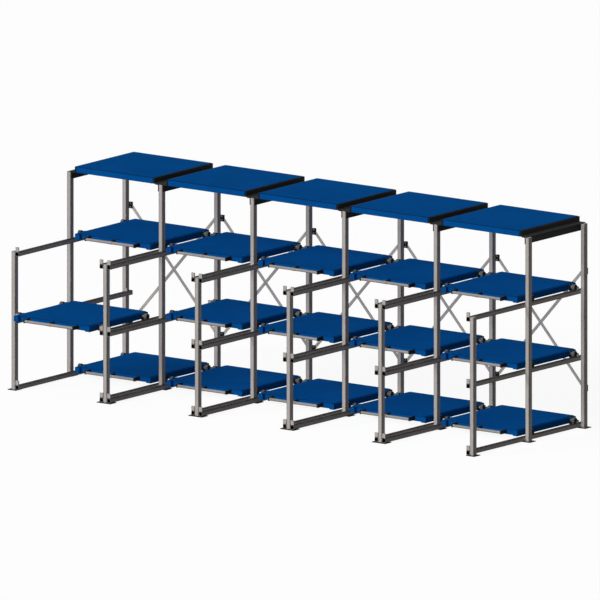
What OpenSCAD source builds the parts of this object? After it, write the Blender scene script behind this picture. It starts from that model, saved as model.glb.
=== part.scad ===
// Mould storage rack: a row of bays with roll-out drawers on a tubular steel frame.
// +X runs along the row of bays, +Z is up, and the drawers pull out towards -Y.
// The origin is on the floor, under the middle of the rack with one drawer pulled out.

/* [Rack] */
// Number of bays side by side
bays = 5; // [1:1:5]
// Number of drawer levels
levels = 3; // [1:1:3]
// Distance between neighbouring side frames
bay_pitch = 1100; // [800:10:1300]
// Distance from the outrigger posts to the front posts
outrigger_reach = 880; // [820:10:1000]
// Distance from the front posts to the rear posts
frame_depth = 880; // [780:10:1100]
// Height from one drawer level to the next
level_pitch = 650; // [500:10:720]
// Bay whose drawer stands pulled out, counted from the left
open_bay = 1; // [1:1:5]
// Level whose drawer stands pulled out, counted from the floor
open_level = 2; // [1:1:3]
// Hairline left between pieces that are welded, pressed or screwed to each other
seam = 0.05; // [0.02:0.01:0.2]

/* [Posts] */
// Height of the front and rear posts
post_h = 1992; // [1900:1:2400]
// Side of the square post tube
post = 50; // [40:1:70]
// Wall of the post tube
post_wall = 3; // [2:0.5:5]
// Outer corner radius of the post tube
post_r = 8; // [4:0.5:10]
// Thickness of the base plates
plate_t = 6; // [4:1:15]
// How far a base plate reaches past its post, front and back
plate_margin = 25; // [22:1:50]
// How far an inner base plate reaches past the floor rails, left and right
plate_lip = 17; // [5:1:40]
// Anchor hole diameter in the base plates
anchor_d = 12; // [8:1:14]

/* [Rails] */
// Width of the rail tube
rail_w = 40; // [36:1:60]
// Height of the rail tube
rail_h = 40; // [30:1:60]
// Wall of the rail tube
rail_wall = 3; // [2:0.5:5]
// Outer corner radius of the rail tube
rail_r = 4; // [2:0.5:4]
// Width of the track strip on top of a rail
track_w = 30; // [28:1:32]
// Thickness of the track strip
track_t = 4; // [2:0.5:8]

/* [Stops] */
// Width of a stop plate
stop_w = 39; // [30:1:40]
// Thickness of a front stop along the rail
stop_t = 10; // [5:1:16]
// Thickness of a rear stop along the rail
rear_stop_t = 20; // [5:1:24]
// Height of a front stop above the track
front_stop_h = 45; // [40:1:70]
// Height of a rear stop above the track
rear_stop_h = 30; // [24:1:60]
// Radius of a stop's outer top corners
stop_r = 4; // [2:1:14]
// Gap between a wheel and a stop at the end of the travel
stop_gap = 1; // [0.5:0.5:5]

/* [Bracing] */
// Height of the upper brace ends above the top track
brace_top_rise = 176; // [100:1:220]
// Height of the lower brace ends above the bottom track
brace_low_rise = 335; // [150:1:360]
// Width of a brace bar
brace_w = 30; // [25:1:40]
// Thickness of a brace bar
brace_t = 5; // [3:0.5:8]
// How far the cleat plates behind the rear posts reach past the posts' sides
cleat_reach = 32; // [30:1:50]
// Thickness of the cleat plates
cleat_t = 5; // [4:0.5:6]
// Height of the cleat plates
cleat_h = 64; // [62:1:100]
// Distance from a post's side to the bolts in its cleat plates
cleat_bolt_gap = 11; // [11:1:14]
// Spacing of the two bolts that hold a brace end
cleat_bolt_pitch = 34; // [26:1:36]
// Thread diameter of the frame bolts
bolt_d = 8; // [6:1:10]

/* [Top shelves] */
// Width of a top beam's upper leg
beam_w = 40; // [30:1:60]
// Height of a top beam
beam_h = 69; // [60:1:90]
// Thickness of a top beam
beam_t = 6; // [4:0.5:10]
// Height of the angles along the shelf sides
angle_leg = 58; // [40:1:70]
// Width of an angle's foot
angle_foot = 79; // [60:1:90]
// Thickness of the shelf angles
angle_t = 8; // [4:0.5:10]
// How far an angle's foot stays back from the middle of its post
angle_setback = 1; // [0.5:0.5:5]
// Height of a shelf pan
pan_h = 60; // [45:1:90]
// Sheet thickness of a shelf pan
pan_t = 4; // [2:0.5:6]
// Width of the stiffeners under a shelf pan
rib_w = 60; // [40:1:100]
// Depth of the stiffeners under a shelf pan
rib_h = 28; // [20:1:38]
// Number of stiffeners under each shelf pan
ribs = 2; // [1:1:4]

/* [Drawers] */
// Gap between a drawer's side beam and its rail, seen from the front
side_gap = 30; // [20:1:60]
// Height of a drawer's underside over the top of the track, negative where it hangs between the rails
lift = -3; // [-6:0.5:4]
// Side of the square drawer beams
beam = 56; // [50:1:60]
// Wall of the drawer beams
drawer_wall = 3; // [2:0.5:4]
// How far a closed drawer's nose stands ahead of the front posts
nose = 30; // [10:1:60]
// How far a closed drawer's tail stays inside the back of the rear posts
tail_gap = 30; // [24:1:80]
// How far the side beams stand ahead of the front beam
nose_step = 33; // [15:1:40]
// How far the deck stays back from the outside of the side beams
deck_inset = 20; // [2:1:40]
// How far the deck stays back from the front of the side beams
deck_back = 10; // [2:1:14]
// Thickness of the deck plate
deck_t = 5; // [3:0.5:8]
// Number of cross members under the deck
cross_members = 2; // [1:1:4]
// Distance from the drawer's nose to the front axle
nose_to_axle = 159; // [110:1:240]
// Distance from the rear axle to the drawer's tail
axle_to_tail = 92; // [80:1:200]

/* [Wheels] */
// Wheel diameter
wheel_d = 56; // [52:1:60]
// Wheel width
wheel_w = 36; // [32:1:38]
// Diameter of the wheel's hub, inside the tyre
hub_d = 40; // [38:1:44]
// Depth of the recess in the outer face of the hub
hub_recess = 8; // [8:0.5:10]
// Diameter of the axle journal
axle_d = 16; // [14:1:18]
// Length of the axle plates on the outside of the side beams
axle_plate_l = 40; // [38:1:60]
// Height of an axle plate
axle_plate_h = 62; // [56:1:64]
// Thickness of an axle plate
axle_plate_t = 14; // [8:1:16]
// Diameter of the collar between an axle plate and its wheel
collar_d = 30; // [24:1:36]
// Running gap between a wheel's bore and its axle, on the radius
bore_gap = 0.05; // [0.02:0.01:0.1]
// Gap between a wheel and the track, and at the wheel's two faces
run_gap = 0.3; // [0.2:0.1:0.8]

/* [Handles] */
// Diameter of the handle tube
handle_d = 27; // [20:1:32]
// Wall of the handle tube
handle_wall = 2.5; // [2:0.5:4]
// Length of the handle over its outer arms
handle_l = 600; // [300:10:620]
// Distance from the front beam to the handle's axis
handle_reach = 71; // [60:1:90]
// How far the handle's axis lies below the middle of the front beam
handle_drop = 3; // [0:0.5:4]
// Length of the sleeve on the middle of the handle tube
sleeve_l = 42; // [30:1:60]
// Wall of the sleeve
sleeve_wall = 2; // [1:0.5:4]
// Width of a handle arm
arm_w = 14; // [10:1:30]
// Height of a handle arm
arm_h = 38; // [36:1:46]

/* [Hidden] */
$fn = 48;
// Overlap of a cutting shape past the face that it opens
cut = 1;

// Side frames count from 0 at the left, and the bays between them from 1
function frame_x(f) = (f - bays / 2) * bay_pitch;
function bay_x(b) = (frame_x(b - 1) + frame_x(b)) / 2;
// Sides of a frame that face a bay: +1 to the right, -1 to the left
function inner_sides(f) = [if (f > 0) -1, if (f < bays) 1];

// Places along the depth, measured from the outrigger posts
front_y = outrigger_reach;
rear_y = outrigger_reach + frame_depth;
rail_front_y = -post / 2;
rail_back_y = rear_y + post / 2;

// Rails, level by level
rail_side = post / 2 + rail_w / 2;
function rail_z(l) = plate_t + (l - 1) * level_pitch;
function track_z(l) = rail_z(l) + rail_h + track_t;
top_track_z = track_z(levels);

// Drawers: the front wheels stop behind the front stops, and the rear wheels ahead of the rear stops
wheel_r = wheel_d / 2;
axle_z = wheel_r + run_gap;
wheel_x = bay_pitch / 2 - rail_side;
drawer_w = bay_pitch - post - 2 * rail_w - 2 * side_gap;
closed_nose_y = front_y - post / 2 - nose;
drawer_l = rear_y + post / 2 - tail_gap - closed_nose_y;
wheelbase = drawer_l - nose_to_axle - axle_to_tail;
axle_out_y = rail_front_y + stop_t + stop_gap + wheel_r;
axle_in_y = closed_nose_y + nose_to_axle;
rear_stop_y = axle_in_y + wheelbase + wheel_r + stop_gap;
beam_top = lift + beam;
front_beam_y = nose_step - nose_to_axle;
tail_y = drawer_l - nose_to_axle;
handle_y = front_beam_y - handle_reach;
arm_z = lift + beam / 2;
handle_z = arm_z - handle_drop;
sleeve_d = handle_d + 2 * sleeve_wall;
deck_y = deck_back - nose_to_axle;
function is_open(b, l) = b == open_bay && l == open_level;
function drawer_y(b, l) = is_open(b, l) ? axle_out_y : axle_in_y;

// Wheel, axle and nut, along the axle from the middle of the wheel outwards
hub_face = wheel_w / 2 - hub_recess;
nut_flange = 4;
nut_flange_d = axle_d + 2 * nut_flange;
nut_flange_t = 2.5;
nut_h = 5;
nut_edge = 1;
stub_step = 2;
stub_d = axle_d - 2 * stub_step;
stub_end = hub_face + run_gap + nut_flange_t + nut_h;
tyre_chamfer = 2;
hub_rim = 5;

// Base plates
plate_d = post + 2 * plate_margin;
plate_inner_w = post + 2 * rail_w + 2 * plate_lip;
anchor_y = post / 2 + plate_margin / 2;

// Bracing: one bar of each cross lies a bar's thickness behind the other
brace_top_z = top_track_z + brace_top_rise;
brace_low_z = track_z(1) + brace_low_rise;
cleat_heights = [brace_low_z, brace_top_z];
cleat_y = rear_y + post / 2;
brace_bolt_x = post / 2 + cleat_bolt_gap;
tab_gap = 2;
tab_w = cleat_reach - tab_gap;
tab_x = post / 2 + cleat_reach - tab_w / 2;
brace_run = bay_pitch - 2 * brace_bolt_x;
brace_rise = brace_top_z - brace_low_z;
brace_l = sqrt(brace_run * brace_run + brace_rise * brace_rise);
brace_angle = atan2(brace_rise, brace_run);
hole_gap = 0.25;
bolt_head_d = 1.9 * bolt_d;
bolt_head_h = 0.64 * bolt_d;
bolt_nut_h = 0.8 * bolt_d;
bolt_tail = 2;

// Top shelves
shelf_side = angle_setback + angle_foot;
pan_w = bay_pitch - 2 * shelf_side;
beam_y = front_y - post / 2;
beam_l = frame_depth + post;

// The drawing's middle, from the pulled-out handle to the back of the rear base plates
object_front_y = axle_out_y + handle_y - handle_d / 2;
object_back_y = rear_y + plate_d / 2;
middle_y = (object_front_y + object_back_y) / 2;

// Colours as painted
post_colour = [0.73, 0.71, 0.69];
rail_colour = [0.55, 0.53, 0.51];
stop_colour = [0.69, 0.66, 0.64];
charcoal = [0.17, 0.18, 0.18];
blue = [0.0, 0.31, 0.58];
tyre_colour = [0.38, 0.39, 0.40];
hub_colour = [0.08, 0.08, 0.08];
zinc = [0.6, 0.62, 0.65];

function drawer_names(prefix) = [
    for (b = [1 : bays]) for (l = [1 : levels]) str(prefix, "_b", b, "_l", l)
];

// Moves a shape from places measured at the outrigger posts to the rack's own origin
module in_rack() {
    translate([0, -middle_y, 0]) children();
}

// Rectangle with round corners, about its middle
module round_rect(w, h, r) {
    if (r > 0) {
        square([w - 2 * r, h], center = true);
        square([w, h - 2 * r], center = true);
        for (x = [-1, 1], y = [-1, 1]) translate([x * (w / 2 - r), y * (h / 2 - r)]) circle(r);
    } else {
        square([w, h], center = true);
    }
}

// Square tube along Z from zero, with closed ends of the given thicknesses
module tube_z(l, w, h, wall, r, low_cap = 0, high_cap = 0) {
    low = low_cap > 0 ? low_cap : -cut;
    high = high_cap > 0 ? l - high_cap : l + cut;
    difference() {
        linear_extrude(l) round_rect(w, h, r);
        translate([0, 0, low]) linear_extrude(high - low)
            round_rect(w - 2 * wall, h - 2 * wall, max(0, r - wall));
    }
}

// Square tube along Y from zero, standing on its underside
module tube_y(l, w, h, wall, r, cap = 0) {
    translate([0, 0, h / 2]) rotate([-90, 0, 0]) tube_z(l, w, h, wall, r, cap, cap);
}

// Square tube along X, about its middle, standing on its underside
module tube_x(l, w, h, wall, r, cap = 0) {
    translate([l / 2, 0, 0]) rotate([0, 0, 90]) tube_y(l, w, h, wall, r, cap);
}

// Cylinder along X from x0 to x1
module rod_x(d, x0, x1) {
    translate([x0, 0, 0]) rotate([0, 90, 0]) cylinder(d = d, h = x1 - x0);
}

// Hexagon along X from x0 to x1, by its width across corners
module hex_x(d, x0, x1) {
    translate([x0, 0, 0]) rotate([0, 90, 0]) cylinder(d = d, h = x1 - x0, $fn = 6);
}

// One post on its base plate, with a welded cap on top
module one_post(top) {
    translate([0, 0, plate_t]) tube_z(top - plate_t, post, post, post_wall, post_r, 0, post_wall);
}

module posts_at(y, top) {
    in_rack() for (f = [0 : bays]) translate([frame_x(f), y, 0]) one_post(top);
}

module outrigger_posts() {
    color(post_colour) posts_at(0, top_track_z);
}

module front_posts() {
    color(post_colour) posts_at(front_y, post_h);
}

module rear_posts() {
    color(post_colour) posts_at(rear_y, post_h);
}

module base_plates() {
    color(charcoal) in_rack() for (f = [0 : bays], y = [0, front_y, rear_y]) {
        w = f > 0 && f < bays ? plate_inner_w : plate_d;
        translate([frame_x(f), y, 0]) difference() {
            translate([-w / 2, -plate_d / 2, 0]) cube([w, plate_d, plate_t]);
            for (s = [-1, 1]) translate([0, s * anchor_y, -cut])
                cylinder(d = anchor_d, h = plate_t + 2 * cut);
        }
    }
}

// Places its child at the middle of each rail's front end, on the rail's underside
module at_rails(l) {
    for (f = [0 : bays], s = inner_sides(f))
        translate([frame_x(f) + s * rail_side, 0, rail_z(l)]) children();
}

// Rail tubes with a flat track strip welded on top
module rails(l) {
    length = rail_back_y - rail_front_y;
    color(rail_colour) in_rack() at_rails(l) translate([0, rail_front_y, 0]) {
        tube_y(length, rail_w, rail_h, rail_wall, rail_r);
        translate([-track_w / 2, 0, rail_h + seam]) cube([track_w, length, track_t - seam]);
    }
}

// Upright plate with round top corners, standing on the track
module stop_plate(h, t) {
    translate([0, t, 0]) rotate([90, 0, 0]) linear_extrude(t) {
        translate([-stop_w / 2, 0]) square([stop_w, h - stop_r]);
        translate([stop_r - stop_w / 2, 0]) square([stop_w - 2 * stop_r, h]);
        for (s = [-1, 1]) translate([s * (stop_w / 2 - stop_r), h - stop_r]) circle(stop_r);
    }
}

module stops_at(y, h, t) {
    color(stop_colour) in_rack() for (l = [1 : levels]) {
        at_rails(l) translate([0, y, rail_h + track_t]) stop_plate(h, t);
    }
}

module front_stops() {
    stops_at(rail_front_y, front_stop_h, stop_t);
}

module rear_stops() {
    stops_at(rear_stop_y, rear_stop_h, rear_stop_t);
}

// Angles on the bay sides of the posts: one leg down the posts, one leg level with their tops
module top_beams() {
    color(charcoal) in_rack() for (f = [0 : bays], s = inner_sides(f)) {
        translate([frame_x(f), beam_y + beam_l, post_h]) mirror([s > 0 ? 0 : 1, 0, 0])
            translate([post / 2, 0, 0]) rotate([90, 0, 0]) linear_extrude(beam_l) {
                translate([0, -beam_h]) square([beam_t, beam_h]);
                translate([0, -beam_t]) square([beam_w, beam_t]);
            }
    }
}

// Angles with a foot flat on the posts and the top beam and one leg up against the shelf
module shelf_angles() {
    color(charcoal) in_rack() for (b = [1 : bays], s = [-1, 1]) {
        translate([bay_x(b), beam_y, post_h]) mirror([s > 0 ? 0 : 1, 0, 0])
            translate([pan_w / 2, beam_l, 0]) rotate([90, 0, 0]) linear_extrude(beam_l) {
                square([angle_foot, angle_t]);
                square([angle_t, angle_leg]);
            }
    }
}

// Folded pan, open below, with channel stiffeners across its underside
module shelf_pan() {
    difference() {
        translate([-pan_w / 2, 0, 0]) cube([pan_w, beam_l, pan_h]);
        translate([pan_t - pan_w / 2, pan_t, -cut])
            cube([pan_w - 2 * pan_t, beam_l - 2 * pan_t, pan_h - pan_t + cut]);
    }
    for (i = [1 : ribs]) translate([0, beam_l * i / (ribs + 1), pan_h - pan_t - rib_h - seam])
        tube_x(pan_w - 2 * (pan_t + seam), rib_w, rib_h, pan_t, 0);
}

module shelf_decks() {
    color(blue) in_rack() for (b = [1 : bays]) translate([bay_x(b), beam_y, post_h]) shelf_pan();
}

// The brace that rises to the right is seated a bar's thickness ahead of the other
function is_ahead(side, z) = (side > 0) == (z == brace_low_z);
function seat_y(ahead) = cleat_y + cleat_t + (ahead ? 0 : brace_t);

// Sheet of a given outline, seen from the front, a hairline behind y
module upright_sheet(y, t) {
    translate([0, y + t, 0]) rotate([90, 0, 0]) linear_extrude(t - seam) children();
}

// The two holes of a brace end, one above the other
module end_holes() {
    for (s = [-1, 1]) translate([0, s * cleat_bolt_pitch / 2]) circle(d = bolt_d + 2 * hole_gap);
}

// Outline of a cleat plate, from its left end to its right end, with holes on the sides that face a bay
module cleat_outline(left, right, sides) {
    difference() {
        translate([-left, -cleat_h / 2]) square([left + right, cleat_h]);
        for (s = sides) translate([s * brace_bolt_x, 0]) end_holes();
    }
}

// Outline of a packer, which seats the rear brace of a cross a bar's thickness back
module packer_outline(s) {
    difference() {
        translate([s * tab_x, 0]) square([tab_w, cleat_h], center = true);
        translate([s * brace_bolt_x, 0]) end_holes();
    }
}

module brace_cleats() {
    wing = post / 2 + cleat_reach;
    color(charcoal) in_rack() for (f = [0 : bays], z = cleat_heights) translate([frame_x(f), 0, z]) {
        upright_sheet(cleat_y, cleat_t)
            cleat_outline(f > 0 ? wing : post / 2, f < bays ? wing : post / 2, inner_sides(f));
        for (s = inner_sides(f)) if (!is_ahead(s, z)) upright_sheet(seat_y(true), brace_t) packer_outline(s);
    }
}

// Outline of the brace that rises to the right: a flat bar with an upright tab at each end
module brace_outline() {
    difference() {
        union() {
            rotate(brace_angle) square([brace_l - brace_w / 2, brace_w], center = true);
            for (s = [-1, 1]) translate([s * (bay_pitch / 2 - tab_x), s * brace_rise / 2])
                square([tab_w, cleat_h], center = true);
        }
        for (s = [-1, 1]) translate([s * brace_run / 2, s * brace_rise / 2]) end_holes();
        circle(d = bolt_d + 2 * hole_gap);
    }
}

module braces() {
    color(stop_colour) in_rack() for (b = [1 : bays], ahead = [true, false]) {
        translate([bay_x(b), 0, (brace_top_z + brace_low_z) / 2]) mirror([ahead ? 0 : 1, 0, 0])
            upright_sheet(seat_y(ahead), brace_t) brace_outline();
    }
}

// Hexagon bolt along X with its head's underside at zero and its nut at the grip length
module hex_bolt(grip) {
    nut_end = grip + bolt_nut_h;
    hex_x(bolt_head_d, -bolt_head_h, 0);
    rod_x(bolt_d, 0, nut_end + bolt_tail);
    difference() {
        hex_x(bolt_head_d, grip, nut_end);
        rod_x(bolt_d + 2 * seam, grip - cut, nut_end + cut);
    }
}

// Bolts through the cleat plates and the brace ends behind them, and through the crossings
module frame_bolts() {
    color(zinc) in_rack() {
        for (f = [0 : bays], s = inner_sides(f), z = cleat_heights, k = [-1, 1]) {
            grip = seat_y(is_ahead(s, z)) + brace_t - cleat_y;
            translate([frame_x(f) + s * brace_bolt_x, cleat_y, z + k * cleat_bolt_pitch / 2])
                rotate([0, 0, 90]) hex_bolt(grip + seam);
        }
        for (b = [1 : bays]) translate([bay_x(b), seat_y(true), (brace_top_z + brace_low_z) / 2])
            rotate([0, 0, 90]) hex_bolt(2 * brace_t + seam);
    }
}

// Places its child at a drawer's front axle, midway between its wheels and on top of the track
module at_drawer(b, l) {
    in_rack() translate([bay_x(b), drawer_y(b, l), track_z(l)]) children();
}

// Side beams with closed ends, bored for the axles
module side_beam() {
    difference() {
        translate([drawer_w / 2 - beam / 2, -nose_to_axle, lift])
            tube_y(drawer_l, beam, beam, drawer_wall, drawer_wall, drawer_wall);
        for (y = [0, wheelbase]) translate([0, y, axle_z])
            rod_x(axle_d + 2 * seam, drawer_w / 2 - beam - cut, drawer_w / 2 + cut);
    }
}

// Plates on the outside of a side beam that carry its axles, level with the top of the beam
module axle_plates() {
    for (y = [0, wheelbase]) difference() {
        translate([drawer_w / 2 + seam, y - axle_plate_l / 2, beam_top - axle_plate_h])
            cube([axle_plate_t - seam, axle_plate_l, axle_plate_h]);
        translate([0, y, axle_z])
            rod_x(axle_d + 2 * seam, drawer_w / 2 - cut, drawer_w / 2 + axle_plate_t + cut);
    }
}

// Stub axle welded through a side beam and its plate, with a collar inside the wheel and a stub for the nut
module axle() {
    collar_end = wheel_x - wheel_w / 2 - run_gap;
    rod_x(axle_d, drawer_w / 2 - beam, wheel_x + hub_face + run_gap);
    rod_x(collar_d, drawer_w / 2 + axle_plate_t + seam, collar_end);
    rod_x(stub_d, wheel_x, wheel_x + stub_end + seam);
}

// Flange nut that keeps a wheel on its axle
module axle_nut() {
    seat = wheel_x + hub_face + run_gap + seam;
    difference() {
        union() {
            rod_x(nut_flange_d, seat, seat + nut_flange_t);
            hex_x(nut_flange_d - 2 * nut_edge, seat + nut_flange_t, seat + nut_flange_t + nut_h);
        }
        rod_x(stub_d + 2 * seam, seat - cut, seat + nut_flange_t + nut_h + cut);
    }
}

// Cross beams of a drawer, from its front beam to its rear beam
module cross_beams() {
    spacing = (tail_y - front_beam_y - beam) / (cross_members + 1);
    for (i = [0 : cross_members + 1]) translate([0, front_beam_y + beam / 2 + i * spacing, lift])
        tube_x(drawer_w - 2 * (beam + seam), beam, beam, drawer_wall, drawer_wall);
}

module deck() {
    w = drawer_w - 2 * deck_inset;
    translate([-w / 2, deck_y, beam_top + seam]) cube([w, tail_y - deck_y, deck_t - seam]);
}

// Tube between the outer arms, closed at its ends
module handle_tube() {
    end = handle_l / 2 - arm_w - seam;
    translate([0, handle_y, handle_z]) difference() {
        rod_x(handle_d, -end, end);
        rod_x(handle_d - 2 * handle_wall, handle_wall - end, end - handle_wall);
    }
}

// Sleeve on the middle of the tube, where the middle arm holds it
module handle_sleeve() {
    translate([0, handle_y, handle_z]) difference() {
        rod_x(sleeve_d, -sleeve_l / 2, sleeve_l / 2);
        rod_x(handle_d + 2 * seam, -sleeve_l, sleeve_l);
    }
}

// Arm on the front of the front beam, about its own middle, of a given reach
module arm(reach) {
    translate([-arm_w / 2, front_beam_y - reach, arm_z - arm_h / 2]) cube([arm_w, reach - seam, arm_h]);
}

// Two outer arms that cover the ends of the tube, and a middle one saddle-cut to its sleeve
module handle_arms() {
    for (s = [-1, 1]) translate([s * (handle_l - arm_w) / 2, 0, 0]) arm(handle_reach + handle_d / 2);
    difference() {
        arm(handle_reach - sleeve_d / 4);
        translate([0, handle_y, handle_z]) rod_x(sleeve_d + 2 * seam, -arm_w, arm_w);
    }
}

module drawer(b, l) {
    at_drawer(b, l) {
        color(blue) {
            for (s = [0, 1]) mirror([s, 0, 0]) side_beam();
            cross_beams();
            deck();
        }
        color(zinc) {
            for (s = [0, 1], y = [0, wheelbase]) mirror([s, 0, 0]) translate([0, y, axle_z]) {
                axle();
                axle_nut();
            }
        }
        color(stop_colour) {
            handle_tube();
            handle_sleeve();
        }
        color(charcoal) {
            handle_arms();
            for (s = [0, 1]) mirror([s, 0, 0]) axle_plates();
        }
    }
}

// Turns a profile of radius and width about the X axis
module turned() {
    rotate([0, 90, 0]) rotate_extrude() children();
}

// Wheel about its middle, with the hub's recess on the +X side
module wheel() {
    w = wheel_w / 2;
    color(tyre_colour) turned() polygon([
        [hub_d / 2 + seam, -w], [wheel_r - tyre_chamfer, -w], [wheel_r, tyre_chamfer - w],
        [wheel_r, w - tyre_chamfer], [wheel_r - tyre_chamfer, w], [hub_d / 2 + seam, w]
    ]);
    color(hub_colour) turned() polygon([
        [axle_d / 2 + bore_gap, -w], [hub_d / 2, -w], [hub_d / 2, w], [hub_d / 2 - hub_rim, w],
        [hub_d / 2 - hub_rim, hub_face], [axle_d / 2 + bore_gap, hub_face]
    ]);
}

// The left and the right wheel of one axle line
module wheel_pair(b, l, y) {
    at_drawer(b, l) for (s = [0, 1]) mirror([s, 0, 0]) translate([wheel_x, y, axle_z]) wheel();
}

outrigger_posts();
front_posts();
rear_posts();
base_plates();
for (l = [1 : levels]) rails(l);
front_stops();
rear_stops();
top_beams();
shelf_angles();
shelf_decks();
braces();
brace_cleats();
frame_bolts();
for (b = [1 : bays], l = [1 : levels]) {
    drawer(b, l);
    wheel_pair(b, l, 0);
    wheel_pair(b, l, wheelbase);
}
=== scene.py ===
"""Mould storage rack: painted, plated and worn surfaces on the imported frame, and the stage.

Every piece is a set of rings: one outline, drawn in and lifted from ring to ring. All lengths are in metres.
"""
import math
from typing import NamedTuple

import bpy
import numpy as np
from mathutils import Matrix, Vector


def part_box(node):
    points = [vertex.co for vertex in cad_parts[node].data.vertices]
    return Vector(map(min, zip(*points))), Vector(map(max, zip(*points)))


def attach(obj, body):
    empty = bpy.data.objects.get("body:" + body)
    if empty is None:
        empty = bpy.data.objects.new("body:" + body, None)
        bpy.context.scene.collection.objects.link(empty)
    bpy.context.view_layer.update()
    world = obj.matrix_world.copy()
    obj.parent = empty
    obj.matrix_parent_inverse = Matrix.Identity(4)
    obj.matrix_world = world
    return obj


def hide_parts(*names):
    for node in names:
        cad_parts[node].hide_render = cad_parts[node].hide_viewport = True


bl_info = {
    "name": "Mould storage rack",
    "version": (1, 0, 0),
    "blender": (4, 5, 0),
    "location": "3D View > Sidebar > Mould rack",
    "description": "Builds the dressed mould storage rack on its packed frame",
    "category": "Object",
}

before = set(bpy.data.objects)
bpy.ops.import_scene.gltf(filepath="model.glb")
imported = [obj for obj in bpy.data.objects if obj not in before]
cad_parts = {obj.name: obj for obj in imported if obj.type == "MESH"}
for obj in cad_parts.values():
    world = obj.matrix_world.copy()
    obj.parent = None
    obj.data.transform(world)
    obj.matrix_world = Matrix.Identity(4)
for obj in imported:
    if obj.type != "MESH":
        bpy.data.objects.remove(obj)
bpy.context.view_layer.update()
RACK = "rack_frame"


def box(node):
    """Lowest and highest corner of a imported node, as arrays."""
    low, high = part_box(node)
    return np.array(low), np.array(high)


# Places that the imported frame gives
DRAWERS = sorted(n[len("drawer"):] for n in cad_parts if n.startswith("drawer_"))
LEVELS = sum(n.startswith("rails_level_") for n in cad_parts)
BAYS = len(DRAWERS) // LEVELS
POST_ROWS = {row: box(row) for row in ("outrigger_posts", "front_posts", "rear_posts")}
POST = POST_ROWS["front_posts"][1][1] - POST_ROWS["front_posts"][0][1]
FRAME_X = np.linspace(
    POST_ROWS["front_posts"][0][0] + POST / 2, POST_ROWS["front_posts"][1][0] - POST / 2, BAYS + 1
)
BAY_X = (FRAME_X[:-1] + FRAME_X[1:]) / 2
# Each bay has a right face of its left frame and a left face of its right frame
FACE_SIDE = np.concatenate([np.ones(BAYS), -np.ones(BAYS)])
FACE_X = np.concatenate([FRAME_X[:-1], FRAME_X[1:]]) + FACE_SIDE * POST / 2
RAILS = [box(f"rails_level_{level}") for level in range(1, LEVELS + 1)]
PLATES = box("base_plates")
BEAMS = box("top_beams")
ANGLES = box("shelf_angles")
PANS = box("shelf_decks")
CLEATS = box("brace_cleats")
FRONT_STOPS = box("front_stops")
REAR_STOPS = box("rear_stops")


class Profile(NamedTuple):
    """Counter-clockwise outline.

    It holds points, outward normals, an edge mark that is 1 on round edges, and the least radius.
    """

    points: np.ndarray
    normals: np.ndarray
    mark: np.ndarray
    radius: float


class Part(NamedTuple):
    """Surface: its points, its faces as arrays of equal length and the edge mark of each point."""

    points: np.ndarray
    faces: list
    mark: np.ndarray


def outline(corners, radii, band=0.004, steps=3):
    """Polygon with round corners, counter-clockwise.

    A corner's arc is centred one radius inside both of its sides, and its normal turns evenly from one
    side's normal to the next side's. A point on each side, band past the end of the arc, bounds the
    worn strip.
    """
    corners = np.asarray(corners, float)
    radii = np.broadcast_to(np.asarray(radii, float), len(corners))
    after = np.roll(corners, -1, axis=0) - corners
    length = np.linalg.norm(after, axis=1)
    after = after / length[:, None]
    before = -np.roll(after, 1, axis=0)
    normal_in = np.stack([-before[:, 1], before[:, 0]], axis=1)
    normal_out = np.stack([after[:, 1], -after[:, 0]], axis=1)
    turn = np.arctan2(
        after[:, 1] * -before[:, 0] + after[:, 0] * before[:, 1], -np.sum(before * after, axis=1)
    )
    tangent = radii * np.abs(np.tan(turn / 2))
    free = length - tangent - np.roll(tangent, -1)
    strip = np.minimum(band, 0.45 * free)
    centre = corners + before * tangent[:, None] - (np.sign(turn) * radii)[:, None] * normal_in
    start = np.arctan2(normal_in[:, 1], normal_in[:, 0])
    angle = start[:, None] + turn[:, None] * np.linspace(0, 1, steps + 1)
    arc_normals = np.stack([np.cos(angle), np.sin(angle)], axis=2)
    arc = centre[:, None] + (np.sign(turn) * radii)[:, None, None] * arc_normals
    first = arc[:, :1] + (before * np.roll(strip, 1)[:, None])[:, None]
    last = arc[:, -1:] + (after * strip[:, None])[:, None]
    points = np.concatenate([first, arc, last], axis=1).reshape(-1, 2)
    normals = np.concatenate([normal_in[:, None], arc_normals, normal_out[:, None]], axis=1)
    mark = np.tile(np.r_[0.0, np.ones(steps + 1), 0.0], len(corners))
    return Profile(points, normals.reshape(-1, 2), mark, float(np.min(radii[turn > 0])))


def rectangle(width, height, radius, band=0.004, steps=3):
    """Round-cornered rectangle about its middle."""
    x, y = width / 2, height / 2
    return outline([(-x, -y), (x, -y), (x, y), (-x, y)], radius, band, steps)


def circle(radius, count=32):
    """Points at even angles, radius away from the middle."""
    angle = np.arange(count) * 2 * np.pi / count
    normals = np.stack([np.cos(angle), np.sin(angle)], axis=1)
    return Profile(radius * normals, normals, np.zeros(count), radius)


def hexagon(radius, corner):
    """Six corners at even angles, radius away from the middle."""
    angle = np.arange(6) * np.pi / 3
    return outline(radius * np.stack([np.cos(angle), np.sin(angle)], axis=1), corner, 0.001, 2)


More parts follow.
